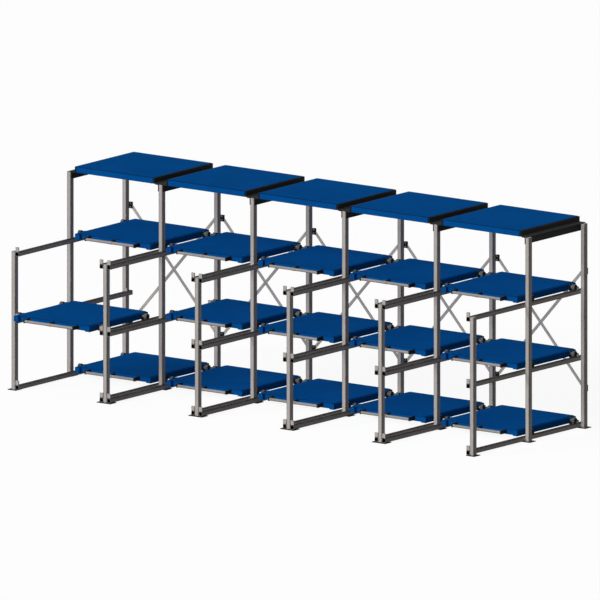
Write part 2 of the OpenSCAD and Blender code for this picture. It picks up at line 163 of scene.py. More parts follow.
def loft(profile, rings, closed=False):
    """Rings of one outline: ring k is the outline drawn in by inset k along its normals, at height k.

    Each row of rings is inset, height and edge mark, where a mark below zero is raised by 1 and takes the
    place of the outline's own. Quads join each ring to the next. A flat face closes each end, or the last
    ring joins the first.
    """
    inset, height, edge = np.asarray(rings, float).T
    count, size = len(inset), len(profile.points)
    flat = profile.points[None] - inset[:, None, None] * profile.normals[None]
    lift = np.broadcast_to(height[:, None, None], (count, size, 1))
    points = np.concatenate([flat, lift], axis=2).reshape(-1, 3)
    own = np.maximum(edge[:, None], profile.mark[None])
    mark = np.where(edge[:, None] < 0, edge[:, None] + 1, own).reshape(-1)
    index = np.arange(count * size).reshape(count, size)
    upper = np.roll(index, -1, axis=0)
    quads = np.stack([index, np.roll(index, -1, 1), np.roll(upper, -1, 1), upper], axis=2)
    if closed:
        return Part(points, [quads.reshape(-1, 4)], mark)
    return Part(points, [quads[:-1].reshape(-1, 4), index[:1, ::-1], index[-1:]], mark)


def bar(profile, length, bevel=0.0015, band=0.004, thin=0.02, steps=2):
    """Outline carried along a straight line, with a quarter round of radius bevel at both ends.

    The round's inset is bevel times one less sine and its rise is bevel times one less cosine. The
    outline's least radius and thickness limit how far the worn strip reaches into the end faces.
    """
    angle = np.linspace(0, np.pi / 2, steps + 1)
    inset, rise = bevel * (1 - np.sin(angle)), bevel * (1 - np.cos(angle))
    inner = max(bevel + 0.00002, min(bevel + band, 0.45 * thin, 0.98 * profile.radius))
    strip = bevel + min(band, 0.4 * (length - 2 * bevel))
    start = np.concatenate([
        [[inner, 0, -1]], np.stack([inset, rise, np.ones_like(angle)], axis=1), [[0, strip, 0]]
    ])
    end = start[::-1] * [1, -1, 1] + [0, length, 0]
    return loft(profile, np.concatenate([start, end]))


# Ring mark of a tube's inner wall, where painted shade stands in for the dark inside
SHADED_INSIDE = -4


def pipe(profile, length, wall, bevel=0.0006, band=0.004):
    """Open tube: the outer wall from end to end, a rim, and the inner wall, marked for painted shade, back
    again.
    """
    outer = [(bevel, 0, 1), (0, bevel, 1), (0, bevel + band, 0)]
    inner = [(wall, length - bevel - band, SHADED_INSIDE), (wall, length - bevel, 1), (wall - bevel, length, 1)]
    outer_end = [(i, length - z, e) for i, z, e in outer[::-1]]
    inner_end = [(i, length - z, e) for i, z, e in inner[::-1]]
    return loft(profile, outer + outer_end + inner[::-1] + inner_end[::-1], closed=True)


def weld(length, radius=0.003, ripple=0.0004, pitch=0.006):
    """Bead along Z about its middle: a circle whose radius rises and falls, tapered at both ends."""
    count = max(5, int(length / pitch))
    along = np.linspace(0, 1, count)
    taper = 0.55 * radius * (np.abs(2 * along - 1) > 0.999)
    inset = taper + ripple * (1 + np.cos(np.pi * np.arange(count)))
    rings = np.stack([inset, (along - 0.5) * length, np.zeros(count)], axis=1)
    return loft(circle(radius, 6), rings)


ALONG_X = np.array([[0, 0, 1], [1, 0, 0], [0, 1, 0]], float)
ALONG_Y = np.array([[1, 0, 0], [0, 0, 1], [0, 1, 0]], float)
MIRROR_X = np.diag([-1.0, 1, 1])


def turned(part, matrix):
    """Part with its points put through a matrix, and its faces turned back where the matrix mirrors."""
    faces = part.faces if np.linalg.det(matrix) > 0 else [f[:, ::-1] for f in part.faces]
    return Part(part.points @ matrix.T, faces, part.mark)


def copies(part, places):
    """Part repeated at each place: whole arrays of points and faces, shifted."""
    places = np.atleast_2d(np.asarray(places, float))
    step = np.arange(len(places)) * len(part.points)
    points = (part.points[None] + places[:, None]).reshape(-1, 3)
    faces = [(f[None] + step[:, None, None]).reshape(-1, f.shape[1]) for f in part.faces]
    return Part(points, faces, np.tile(part.mark, len(places)))


def joined(*parts):
    """Several parts as one, with the faces of each counted on from the one before."""
    start = np.cumsum([0] + [len(p.points) for p in parts[:-1]])
    faces = [f + s for p, s in zip(parts, start) for f in p.faces]
    points = np.concatenate([p.points for p in parts])
    return Part(points, faces, np.concatenate([p.mark for p in parts]))


def both_sides(part):
    """Part and its mirror image across X."""
    return joined(part, turned(part, MIRROR_X))


def grid(xs, ys, zs):
    """Every place with one of the xs, one of the ys and one of the zs."""
    return np.stack(np.meshgrid(xs, ys, zs, indexing="ij"), axis=-1).reshape(-1, 3)


def make_piece(name, layers, body, replaces=()):
    """Mesh object from layers of part and material, riding on a body of the frame."""
    whole = joined(*[part for part, _ in layers])
    sizes = np.concatenate([np.full(len(f), f.shape[1]) for f in whole.faces])
    paints = np.concatenate([
        np.full(sum(len(f) for f in part.faces), k) for k, (part, _) in enumerate(layers)
    ])
    mesh = bpy.data.meshes.new(name)
    mesh.vertices.add(len(whole.points))
    mesh.vertices.foreach_set("co", whole.points.astype(np.float32).ravel())
    mesh.loops.add(int(sizes.sum()))
    corners = np.concatenate([f.ravel() for f in whole.faces])
    mesh.loops.foreach_set("vertex_index", corners.astype(np.int32))
    mesh.polygons.add(len(sizes))
    mesh.polygons.foreach_set("loop_start", np.r_[0, np.cumsum(sizes)[:-1]].astype(np.int32))
    mesh.polygons.foreach_set("material_index", paints.astype(np.int32))
    mesh.update(calc_edges=True)
    if mesh.validate():
        raise RuntimeError(f"{name} has faulty faces")
    edge = mesh.attributes.new("edge", "FLOAT", "POINT")
    edge.data.foreach_set("value", whole.mark.astype(np.float32))
    mesh.shade_smooth()
    mesh.set_sharp_from_angle(angle=math.radians(50))
    for _, material in layers:
        mesh.materials.append(material)
    piece = bpy.data.objects.new(name, mesh)
    bpy.context.scene.collection.objects.link(piece)
    piece.modifiers.new("weighted", "WEIGHTED_NORMAL").keep_sharp = True
    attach(piece, body)
    if replaces:
        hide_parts(*replaces)
    return piece


def node(tree, kind, settings=None, **inputs):
    """Node with its settings and inputs: a socket is linked, anything else is set.

    An input is given by its name, or by in and its number.
    """
    made = tree.nodes.new(kind)
    for key, value in (settings or {}).items():
        setattr(made, key, value)
    for key, value in inputs.items():
        label = int(key[2:]) if key.startswith("in") else key.replace("_", " ")
        socket = made.inputs[label]
        if isinstance(value, bpy.types.NodeSocket):
            tree.links.new(value, socket)
        else:
            socket.default_value = value
    return made


def math_node(tree, operation, first, second):
    """One arithmetic step, clamped to the range from 0 to 1."""
    settings = {"operation": operation, "use_clamp": True}
    return node(tree, "ShaderNodeMath", settings, in0=first, in1=second).outputs[0]


def smooth_step(tree, value, low, high):
    """0 below low, 1 above high, and a smooth rise between."""
    settings = {"interpolation_type": "SMOOTHSTEP"}
    made = node(tree, "ShaderNodeMapRange", settings, Value=value, From_Min=low, From_Max=high)
    return made.outputs[0]


def span_of(tree, value, low, high):
    """A value from 0 to 1 carried to the range from low to high."""
    return node(tree, "ShaderNodeMapRange", Value=value, To_Min=low, To_Max=high).outputs[0]


def mixed(tree, mask, first, second):
    """First colour where the mask is 0, second where it is 1."""
    settings = {"data_type": "RGBA"}
    return node(tree, "ShaderNodeMix", settings, in0=mask, in6=first, in7=second).outputs[2]


def new_group(name, inputs, outputs):
    """Shader node group with number sockets, and its coordinates on the object."""
    tree = bpy.data.node_groups.new(name, "ShaderNodeTree")
    for label, value in inputs.items():
        socket = tree.interface.new_socket(label, in_out="INPUT", socket_type="NodeSocketFloat")
        socket.default_value = value
    for label in outputs:
        tree.interface.new_socket(label, in_out="OUTPUT", socket_type="NodeSocketFloat")
    source = tree.nodes.new("NodeGroupInput")
    sink = tree.nodes.new("NodeGroupOutput")
    place = tree.nodes.new("ShaderNodeTexCoord").outputs["Object"]
    return tree, source, sink, place


def powder_grain():
    """Group: the dimpled skin of a powder coat, and slow clouds of colour."""
    tree, source, sink, place = new_group("powder_grain", {"Scale": 700.0}, ["Height", "Cloud"])
    scale = source.outputs["Scale"]
    fine = node(tree, "ShaderNodeTexNoise", Vector=place, Scale=scale, Detail=2.0, Roughness=0.55)
    slow = node(tree, "ShaderNodeTexNoise", Vector=place, Scale=3.1, Detail=4.0, Roughness=0.6)
    tree.links.new(fine.outputs[0], sink.inputs["Height"])
    tree.links.new(smooth_step(tree, slow.outputs[0], 0.3, 0.7), sink.inputs["Cloud"])
    return tree


def edge_wear():
    """Group: where an edge has lost its paint, as the edge mark times a broken noise."""
    tree, source, sink, place = new_group("edge_wear", {"Edge": 0.0, "Amount": 0.5}, ["Mask"])
    broken = node(tree, "ShaderNodeTexNoise", Vector=place, Scale=38.0, Detail=6.0, Roughness=0.65)
    share = span_of(tree, broken.outputs[0], 0.35, 1.35)
    reach = math_node(tree, "MULTIPLY", source.outputs["Edge"], share)
    worn = smooth_step(tree, reach, 0.35, 0.85)
    tree.links.new(math_node(tree, "MULTIPLY", worn, source.outputs["Amount"]), sink.inputs["Mask"])
    return tree


def settled_dust():
    """Group: dust on what faces up, as the normal's rise times a patchy noise."""
    tree, source, sink, place = new_group("settled_dust", {"Amount": 0.2}, ["Mask"])
    normal = tree.nodes.new("ShaderNodeNewGeometry").outputs["Normal"]
    rise = node(tree, "ShaderNodeSeparateXYZ", in0=normal).outputs[2]
    patch = node(tree, "ShaderNodeTexNoise", Vector=place, Scale=7.0, Detail=5.0, Roughness=0.7)
    level = smooth_step(tree, rise, 0.6, 1.0)
    lying = math_node(tree, "MULTIPLY", level, smooth_step(tree, patch.outputs[0], 0.35, 0.75))
    tree.links.new(math_node(tree, "MULTIPLY", lying, source.outputs["Amount"]), sink.inputs["Mask"])
    return tree


def long_scratches():
    """Group: thin scratches, as the crests of a noise stretched by its own share along each axis."""
    shares = {"Across X": 60.0, "Across Y": 60.0, "Across Z": 60.0, "Amount": 0.5}
    tree, source, sink, place = new_group("long_scratches", shares, ["Mask"])
    scale = node(
        tree, "ShaderNodeCombineXYZ",
        X=source.outputs["Across X"], Y=source.outputs["Across Y"], Z=source.outputs["Across Z"],
    ).outputs[0]
    spread = node(tree, "ShaderNodeVectorMath", {"operation": "MULTIPLY"}, in0=place, in1=scale)
    lines = node(
        tree, "ShaderNodeTexNoise", Vector=spread.outputs[0], Scale=1.0, Detail=3.0, Roughness=0.7
    )
    crests = smooth_step(tree, lines.outputs[0], 0.62, 0.74)
    tree.links.new(math_node(tree, "MULTIPLY", crests, source.outputs["Amount"]), sink.inputs["Mask"])
    return tree


def use_group(tree, make, **inputs):
    """A shared group placed in a material, made the first time that one asks for it."""
    shared = bpy.data.node_groups.get(make.__name__) or make()
    return node(tree, "ShaderNodeGroup", {"node_tree": shared}, **inputs).outputs


def new_material(name, specular, metallic=0.0):
    """Empty node material, its tree and its shader, with the numbers that are the same all over."""
    material = bpy.data.materials.new(name)
    material.use_nodes = True
    shader = material.node_tree.nodes["Principled BSDF"]
    shader.inputs["Specular IOR Level"].default_value = specular
    shader.inputs["Metallic"].default_value = metallic
    return material, material.node_tree, shader


def finish(tree, shader, colour, rough, height, depth):
    """Colour, roughness and a bump of the given depth, joined to the shader."""
    bump = node(tree, "ShaderNodeBump", Height=height, Strength=0.5, Distance=depth)
    tree.links.new(colour, shader.inputs["Base Color"])
    tree.links.new(rough, shader.inputs["Roughness"])
    tree.links.new(bump.outputs[0], shader.inputs["Normal"])


def shade(colour, share):
    """A colour made lighter or darker by one share, as four numbers."""
    return tuple(min(1.0, c * share) for c in colour[:3]) + (1.0,)


# Colour of the dust on paint and on rubber
DUST = (0.30, 0.28, 0.25, 1)
RUBBER_DUST = (0.14, 0.13, 0.12, 1)


def powder_paint(name, colour, chip, wear=0.6, dust=0.15, scratches=0.0, gloss=0.012):
    """Powder coat: cloudy colour, edges rubbed to what is under it, dust on top, painted shade inside open
    tubes.
    """
    if name in bpy.data.materials:
        return bpy.data.materials[name]
    rough = 0.75
    material, tree, shader = new_material(name, gloss)
    edge = node(tree, "ShaderNodeAttribute", {"attribute_name": "edge"}).outputs["Fac"]
    grain = use_group(tree, powder_grain, Scale=700.0)
    worn = use_group(tree, edge_wear, Edge=edge, Amount=wear)["Mask"]
    dusty = use_group(tree, settled_dust, Amount=dust)["Mask"]
    skin = mixed(tree, grain["Cloud"], shade(colour, 0.94), shade(colour, 1.05))
    if scratches:
        lines = use_group(
            tree, long_scratches, Across_X=160.0, Across_Y=2.4, Across_Z=160.0, Amount=scratches
        )["Mask"]
        skin = mixed(tree, lines, skin, shade(colour, 0.62))
    skin = mixed(tree, dusty, skin, DUST)
    skin = mixed(tree, worn, skin, shade(chip, 1))
    # Painted shade: walls marked below zero, the insides of open tubes, turn to the chip colour at 0.4
    inside_shade = smooth_step(tree, math_node(tree, "MULTIPLY", edge, -1.0), 0.3, 0.9)
    skin = mixed(tree, inside_shade, skin, shade(chip, 0.4))
    dull = span_of(tree, math_node(tree, "ADD", worn, dusty), rough, rough + 0.25)
    finish(tree, shader, skin, dull, grain["Height"], 0.0002)
    return material


def track_steel(name, colour, polished):
    """Dark rolled strip with a lane along its middle that the wheels have rubbed brighter."""
    if name in bpy.data.materials:
        return bpy.data.materials[name]
    material, tree, shader = new_material(name, 0.04)
    edge = node(tree, "ShaderNodeAttribute", {"attribute_name": "edge"}).outputs["Fac"]
    lines = use_group(
        tree, long_scratches, Across_X=700.0, Across_Y=3.0, Across_Z=700.0, Amount=0.8
    )["Mask"]
    grain = use_group(tree, powder_grain, Scale=260.0)
    lane = math_node(tree, "SUBTRACT", span_of(tree, grain["Cloud"], 0.3, 0.6), edge)
    skin = mixed(tree, lane, shade(colour, 1), shade(polished, 1))
    skin = mixed(tree, lines, skin, shade(polished, 1.3))
    finish(tree, shader, skin, span_of(tree, lane, 0.6, 0.38), grain["Height"], 0.0001)
    return material


def bare_metal(name, colour, tint, rough, across, metallic=1.0):
    """Plated or brushed metal: clouds of tint, fine lines that run one way, rubbed brighter at its edges."""
    if name in bpy.data.materials:
        return bpy.data.materials[name]
    material, tree, shader = new_material(name, 0.5, metallic)
    edge = node(tree, "ShaderNodeAttribute", {"attribute_name": "edge"}).outputs["Fac"]
    grain = use_group(tree, powder_grain, Scale=420.0)
    x, y, z = across
    lines = use_group(tree, long_scratches, Across_X=x, Across_Y=y, Across_Z=z, Amount=0.7)["Mask"]
    worn = use_group(tree, edge_wear, Edge=edge, Amount=0.5)["Mask"]
    skin = mixed(tree, grain["Cloud"], shade(colour, 1), shade(tint, 1))
    skin = mixed(tree, lines, skin, shade(colour, 0.72))
    skin = mixed(tree, worn, skin, shade(colour, 1.25))
    finish(tree, shader, skin, span_of(tree, lines, rough, rough + 0.18), grain["Height"], 0.0001)
    return material


def tyre_rubber(name, colour, wall):
    """Cast tyre: cloudy grey tread, dark side walls told by the normal along the axle, dust on top."""
    if name in bpy.data.materials:
        return bpy.data.materials[name]
    material, tree, shader = new_material(name, 0.03)
    grain = use_group(tree, powder_grain, Scale=320.0)
    dusty = use_group(tree, settled_dust, Amount=0.25)["Mask"]
    normal = tree.nodes.new("ShaderNodeNewGeometry").outputs["Normal"]
    across = node(tree, "ShaderNodeSeparateXYZ", in0=normal).outputs[0]
    side = smooth_step(tree, math_node(tree, "MULTIPLY", across, across), 0.35, 0.65)
    skin = mixed(tree, grain["Cloud"], shade(colour, 0.85), shade(colour, 1.15))
    skin = mixed(tree, dusty, skin, RUBBER_DUST)
    skin = mixed(tree, side, skin, shade(wall, 1))
    finish(tree, shader, skin, span_of(tree, grain["Height"], 0.5, 0.7), grain["Height"], 0.0002)
    return material


def length_value(name, words, default):
    """A length that a user may change."""
    return bpy.props.FloatProperty(
        name=name, description=words, default=default, min=0.0, unit="LENGTH"
    )


def colour_value(name, words, default):
    """A linear colour that a user may change."""
    return bpy.props.FloatVectorProperty(
        name=name, description=words, default=default, size=3, min=0.0, max=1.0, subtype="COLOR"
    )


class RackFrameSizes(bpy.types.PropertyGroup):
    """Sizes of the frame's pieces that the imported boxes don't give."""

    post_round: length_value("Post corner", "Outer corner radius of the post tube", 0.008)
    tube_wall: length_value("Tube wall", "Wall of the rail tubes", 0.003)
    tube_round: length_value("Tube corner", "Outer corner radius of the rail tubes", 0.004)
    rail_width: length_value("Rail width", "Width of a rail tube", 0.040)
    track_width: length_value("Track width", "Width of the strip that the wheels run on", 0.030)
    track_thick: length_value("Track thickness", "Thickness of that strip", 0.004)
    stop_width: length_value("Stop width", "Width of a stop plate", 0.039)
    stop_round: length_value("Stop corner", "Radius of a stop plate's top corners", 0.004)
    beam_width: length_value("Top beam width", "Width of a top beam's upper leg", 0.040)
    beam_thick: length_value("Top beam thickness", "Thickness of a top beam", 0.006)
    angle_foot: length_value("Angle foot", "Width of the foot of a shelf angle", 0.079)
    angle_thick: length_value("Angle thickness", "Thickness of the shelf angles", 0.008)
    pan_sheet: length_value("Pan sheet", "Sheet thickness of a shelf pan", 0.004)
    rib_width: length_value("Rib width", "Width of a stiffener under a shelf pan", 0.060)
    rib_height: length_value("Rib height", "Height of a stiffener under a shelf pan", 0.028)
    brace_width: length_value("Brace width", "Width of a brace bar", 0.030)
    brace_thick: length_value("Brace thickness", "Thickness of a brace bar", 0.005)
    cleat_reach: length_value("Cleat reach", "How far a cleat plate passes its post's side", 0.032)
    cleat_thick: length_value("Cleat thickness", "Thickness of a cleat plate", 0.005)
    cleat_height: length_value("Cleat height", "Height of a cleat plate", 0.064)
    tab_gap: length_value("Tab gap", "Gap between a brace's tab and the post's side", 0.002)
    bolt_gap: length_value("Bolt gap", "Distance from a post's side to its cleat bolts", 0.011)
    bolt_pitch: length_value("Cleat bolt spacing", "Spacing of the two bolts of a brace end", 0.034)
    bolt_thick: length_value("Bolt diameter", "Thread diameter of the frame bolts", 0.008)
    soft_edge: length_value("Edge round", "Radius of the round on cut edges", 0.0012)


class RackDrawerSizes(bpy.types.PropertyGroup):
    """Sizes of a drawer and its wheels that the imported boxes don't give."""

    width: length_value("Drawer width", "Width over the two side beams", 0.910)
    beam: length_value("Beam side", "Side of the square drawer beams", 0.056)
    beam_round: length_value("Beam corner", "Outer corner radius of the drawer beams", 0.003)
    nose_to_axle: length_value("Nose to axle", "Distance from the nose to the front axle", 0.159)
    nose_step: length_value("Nose step", "Side beams ahead of the front beam", 0.033)
    deck_inset: length_value("Deck inset", "Deck back from the side beams' outside", 0.020)
    deck_back: length_value("Deck back", "Deck back from the side beams' front", 0.010)
    deck_thick: length_value("Deck thickness", "Thickness of the deck plate", 0.005)
    handle_thick: length_value("Handle diameter", "Diameter of the handle tube", 0.027)
    handle_length: length_value("Handle length", "Length of the handle over its outer arms", 0.600)
    handle_reach: length_value("Handle reach", "Distance from the front beam to the handle's axis", 0.071)
    handle_drop: length_value("Handle drop", "Handle's axis below the front beam's middle", 0.003)
    sleeve_length: length_value("Sleeve length", "Length of the sleeve on the handle's middle", 0.042)
    sleeve_wall: length_value("Sleeve wall", "Wall of the sleeve on the handle tube", 0.002)
    arm_width: length_value("Arm width", "Width of a handle arm", 0.014)
    arm_height: length_value("Arm height", "Height of a handle arm", 0.038)
    plate_length: length_value("Axle plate length", "Length of the plates at the axles", 0.040)
    plate_height: length_value("Axle plate height", "Height of the plates at the axles", 0.062)
    plate_thick: length_value("Axle plate thickness", "Thickness of the axle plates", 0.014)
    collar_thick: length_value("Collar diameter", "Diameter of the collar beside a wheel", 0.030)
    stub_thick: length_value("Stub diameter", "Diameter of the axle's threaded end", 0.012)
    nut_thick: length_value("Nut flange", "Diameter of the axle nut's flange", 0.024)
    wheel_width: length_value("Wheel width", "Width of a wheel", 0.036)
    hub_thick: length_value("Hub diameter", "Diameter of the hub inside the tyre", 0.040)
    hub_recess: length_value("Hub recess", "Depth of the recess in the hub's outer face", 0.008)
    hub_rim: length_value("Hub rim", "Width of the rim around the hub's recess", 0.005)
    bore: length_value("Wheel bore", "Diameter of the bore that runs on the axle", 0.0161)
    cross_members: bpy.props.IntProperty(
        name="Cross members", default=2, min=0,
        description="Number of beams under the deck between front and rear beam",
    )


class RackColours(bpy.types.PropertyGroup):
    """Colours of the finishes, linear."""

    post: colour_value("Posts", "Warm grey powder coat of the posts", (0.470, 0.437, 0.415))
    rail: colour_value("Rails", "Darker grey powder coat of the rails", (0.420, 0.390, 0.370))
    stop: colour_value("Stops and braces", "Grey powder coat of stops and braces", (0.460, 0.427, 0.405))
    charcoal: colour_value("Charcoal", "Powder coat of beams, angles and plates", (0.011, 0.0120, 0.0127))
    blue: colour_value("Blue", "Blue powder coat of drawers and shelves", (0.0008, 0.078, 0.300))
    handle: colour_value("Handles", "Grey powder coat of the handle tubes", (0.360, 0.334, 0.317))
    # The chip colour at 0.4 is also the painted shade inside open tubes
    chip: colour_value("Chipped edge", "What shows where paint has rubbed off", (0.035, 0.032, 0.030))
    track: colour_value("Track", "Dark rolled skin of the track strips", (0.030, 0.028, 0.027))
    lane: colour_value("Polished lane", "Track where the wheels have rubbed it", (0.060, 0.057, 0.055))
    zinc: colour_value("Zinc", "Zinc plate of frame bolts and axles", (0.42, 0.43, 0.45))
    hub: colour_value("Hub", "Black of the hubs, axle nuts and tyre walls", (0.012, 0.012, 0.013))
    tyre: colour_value("Tyre", "Grey of the tyres' treads", (0.120, 0.125, 0.130))


# What shows where charcoal, blue and black paint have thinned at an edge
CHARCOAL_CHIP = (0.10, 0.095, 0.09)
BLUE_CHIP = (0.006, 0.016, 0.035)
BLACK_CHIP = (0.10, 0.10, 0.10)


def post_paint(c):
    return powder_paint("post_coat", c.post, c.chip)


def rail_paint(c):
    return powder_paint("rail_coat", c.rail, c.chip, dust=0.1)


def stop_paint(c):
    return powder_paint("stop_coat", c.stop, c.chip)


def charcoal_paint(c):
    return powder_paint("charcoal_coat", c.charcoal, CHARCOAL_CHIP, wear=0.35, dust=0.0, gloss=0.14)


def blue_paint(c):
    return powder_paint("blue_coat", c.blue, BLUE_CHIP, wear=0.8, dust=0.0, gloss=0.004)


def deck_paint(c):
    return powder_paint(
        "deck_coat", c.blue, BLUE_CHIP, wear=0.8, dust=0.0, scratches=0.4, gloss=0.004
    )


def zinc_plate(c):
    return bare_metal("zinc_plate", c.zinc, shade(c.zinc, 0.85), 0.35, (90.0, 90.0, 90.0), 0.7)


def handle_paint(c):
    return powder_paint("handle_coat", c.handle, c.chip, wear=0.4, dust=0.05, scratches=0.5)


def hub_paint(c):
    return powder_paint("hub_coat", c.hub, BLACK_CHIP, wear=0.4, dust=0.02)


class RackPart:
    """What the operators share: the user's sizes and colours."""

    bl_options = {"REGISTER", "UNDO"}

    def values(self, context):
        scene = context.scene
        return scene.rack_frame_sizes, scene.rack_drawer_sizes, scene.rack_colours


class RACK_OT_posts(RackPart, bpy.types.Operator):
    """Posts with closed tops, their base plates and the weld beads around their feet"""

    bl_idname = "rack.posts"
    bl_label = "Posts and base plates"

    def execute(self, context):
        s, _, c = self.values(context)
        paint = post_paint(c)
        profile = rectangle(POST, POST, s.post_round, steps=4)
        foot = PLATES[1][2]
        for row, (low, high) in POST_ROWS.items():
            part = bar(profile, high[2] - low[2], 0.002, thin=POST)
            places = grid(FRAME_X, [(low[1] + high[1]) / 2], [low[2]])
            make_piece(row + "_painted", [(copies(part, places), paint)], RACK, [row])
        rows = [(low[1] + high[1]) / 2 for low, high in POST_ROWS.values()]
        run = POST - 1.2 * s.post_round
        along_x, along_y = turned(weld(run), ALONG_X), turned(weld(run), ALONG_Y)
        half = POST / 2
        feet = grid(FRAME_X, rows, [foot])
        # The floor rails stand against the posts' sides, so only the end frames' outer faces have side beads
        outer = grid([FRAME_X[0] - half, FRAME_X[-1] + half], rows, [foot])
        behind, ahead = feet + [0, half, 0], feet - [0, half, 0]
        beads = joined(copies(along_x, behind), copies(along_x, ahead), copies(along_y, outer))
        upright, tuck = weld(RAILS[0][1][2] - RAILS[0][0][2] - s.track_thick), 0.001
        corner = half - 0.45 * s.post_round
        ys = [rows[0] + corner, rows[1] - corner, rows[1] + corner, rows[2] - corner]
        heights = [(low[2] + high[2] - s.track_thick) / 2 for low, high in RAILS]
        beads = joined(beads, copies(upright, grid(FACE_X - tuck * FACE_SIDE, ys, heights)))
        make_piece("frame_welds", [(beads, paint)], RACK)
        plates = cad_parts["base_plates"].data.materials
        plates.clear()
        plates.append(charcoal_paint(c))
        return {"FINISHED"}


class RACK_OT_rails(RackPart, bpy.types.Operator):
    """Open rail tubes with their track strips"""

    bl_idname = "rack.rails"
    bl_label = "Rails and tracks"

    def execute(self, context):
        s, _, c = self.values(context)
        paint = rail_paint(c)
        steel = track_steel("track_steel", c.track, c.lane)
        xs = FACE_X + FACE_SIDE * s.rail_width / 2
        for level, (low, high) in enumerate(RAILS, 1):
            length, height = high[1] - low[1], high[2] - low[2] - s.track_thick
            square = rectangle(s.rail_width, height, s.tube_round)
            tube = turned(pipe(square, length, s.tube_wall), ALONG_Y)
            flat = rectangle(s.track_width, s.track_thick, 0.0008, 0.003)
            strip = turned(bar(flat, length, 0.0008, thin=s.track_thick), ALONG_Y)
            tubes = copies(tube, grid(xs, [low[1]], [low[2] + height / 2]))
            strips = copies(strip, grid(xs, [low[1]], [high[2] - s.track_thick / 2]))
            layers = [(tubes, paint), (strips, steel)]
            make_piece(f"rails_{level}_painted", layers, RACK, [f"rails_level_{level}"])
        return {"FINISHED"}


class RACK_OT_stops(RackPart, bpy.types.Operator):
    """Stop plates at both ends of each track"""

    bl_idname = "rack.stops"
    bl_label = "Stops"

    def execute(self, context):
        s, _, c = self.values(context)
        xs = FACE_X + FACE_SIDE * s.rail_width / 2
        tracks = [high[2] for _, high in RAILS]
        for name, (low, high) in (("front_stops", FRONT_STOPS), ("rear_stops", REAR_STOPS)):
            half, height, thick = s.stop_width / 2, high[2] - tracks[-1], high[1] - low[1]
            corners = [(-half, 0), (half, 0), (half, height), (-half, height)]
            profile = outline(corners, [0.001, 0.001, s.stop_round, s.stop_round], steps=5)
            plate = turned(bar(profile, thick, s.soft_edge, thin=s.stop_width), ALONG_Y)
            stops = copies(plate, grid(xs, [low[1]], tracks))
            make_piece(name + "_painted", [(stops, stop_paint(c))], RACK, [name])
        return {"FINISHED"}


class RACK_OT_top(RackPart, bpy.types.Operator):
    """Top beams, shelf angles and the folded shelf pans with their stiffeners"""

    bl_idname = "rack.top"
    bl_label = "Top shelves"

    def execute(self, context):
        s, _, c = self.values(context)
        low, high = BEAMS
        pan_half = BAY_X[0] - PANS[0][0]
        beams = self.beams(s, low, high)
        make_piece("top_beams_painted", [(beams, charcoal_paint(c))], RACK, ["top_beams"])
        angles = self.angles(s, pan_half, low, high)
        make_piece(
            "shelf_angles_painted", [(angles, charcoal_paint(c))], RACK, ["shelf_angles"]
        )
        pans, ribs = self.pans(s, pan_half, low, high)
        layers = [(pans, deck_paint(c)), (ribs, blue_paint(c))]
        make_piece("shelf_pans_painted", layers, RACK, ["shelf_decks"])
        return {"FINISHED"}

    def beams(self, s, low, high):
        """Angles on the bay sides of the posts, one leg down and one leg into the bay."""
        height, wide, thick = high[2] - low[2], s.beam_width, s.beam_thick
        corners = [(0, -height), (thick, -height), (thick, -thick), (wide, -thick), (wide, 0), (0, 0)]
        profile = outline(corners, [0.0015, 0.0015, 0.005, 0.0015, 0.0015, 0.001])
        beam = turned(bar(profile, high[1] - low[1], s.soft_edge, thin=thick), ALONG_Y)
        return self.pair(beam, FRAME_X[:-1] + POST / 2, FRAME_X[1:] - POST / 2, low[1], high[2])

    def angles(self, s, pan_half, low, high):
        """Angles with a foot on the posts and the top beams and one leg up against the pan."""
        leg, foot, thick = ANGLES[1][2] - ANGLES[0][2], s.angle_foot, s.angle_thick
        corners = [(0, 0), (foot, 0), (foot, thick), (thick, thick), (thick, leg), (0, leg)]
        profile = outline(corners, [0.001, 0.0015, 0.0015, 0.005, 0.0015, 0.0015])
        angle = turned(bar(profile, high[1] - low[1], s.soft_edge, thin=thick), ALONG_Y)
        return self.pair(angle, BAY_X + pan_half, BAY_X - pan_half, low[1], high[2])

    def pans(self, s, pan_half, low, high):
        """Pans: up the inside of the wall, around its lower edge, up the outside and over a round fold."""
        length, middle = high[1] - low[1], (low[1] + high[1]) / 2
        tall, sheet, fold = PANS[1][2] - PANS[0][2], s.pan_sheet, 0.005
        lip, band = 0.0005, 0.006
        turn = np.linspace(0, np.pi / 2, 4)
        top = np.stack(
            [fold * (1 - np.cos(turn)), tall - fold + fold * np.sin(turn), np.ones(4)], axis=1
        )
        edge = [(sheet, lip, 0), (sheet - lip, 0, 1), (lip, 0, 1), (0, lip, 1)]
        rings = np.concatenate([
            [(sheet, tall - sheet, -1)], edge, [(0, band, 0), (0, tall - fold - band, 0)],
            top, [(fold + band, tall, -1)],
        ])
        pan = loft(rectangle(2 * pan_half, length, 0.012, band), rings)
        rib_length = 2 * (pan_half - sheet)
        flat = rectangle(s.rib_width, s.rib_height, 0.002)
        rib = turned(bar(flat, rib_length, 0.0005, thin=s.rib_height), ALONG_X)
        rib_y = low[1] + length * np.array([1, 2]) / 3
        rib_z = high[2] + tall - sheet - s.rib_height / 2
        ribs = copies(rib, grid(BAY_X - rib_length / 2, rib_y, [rib_z]))
        return copies(pan, grid(BAY_X, [middle], [high[2]])), ribs

    def pair(self, shape, right_x, left_x, y, z):
        """Copies of a shape whose foot points right, and mirrored copies whose foot points left."""
        right = copies(shape, grid(right_x, [y], [z]))
        return joined(right, copies(turned(shape, MIRROR_X), grid(left_x, [y], [z])))


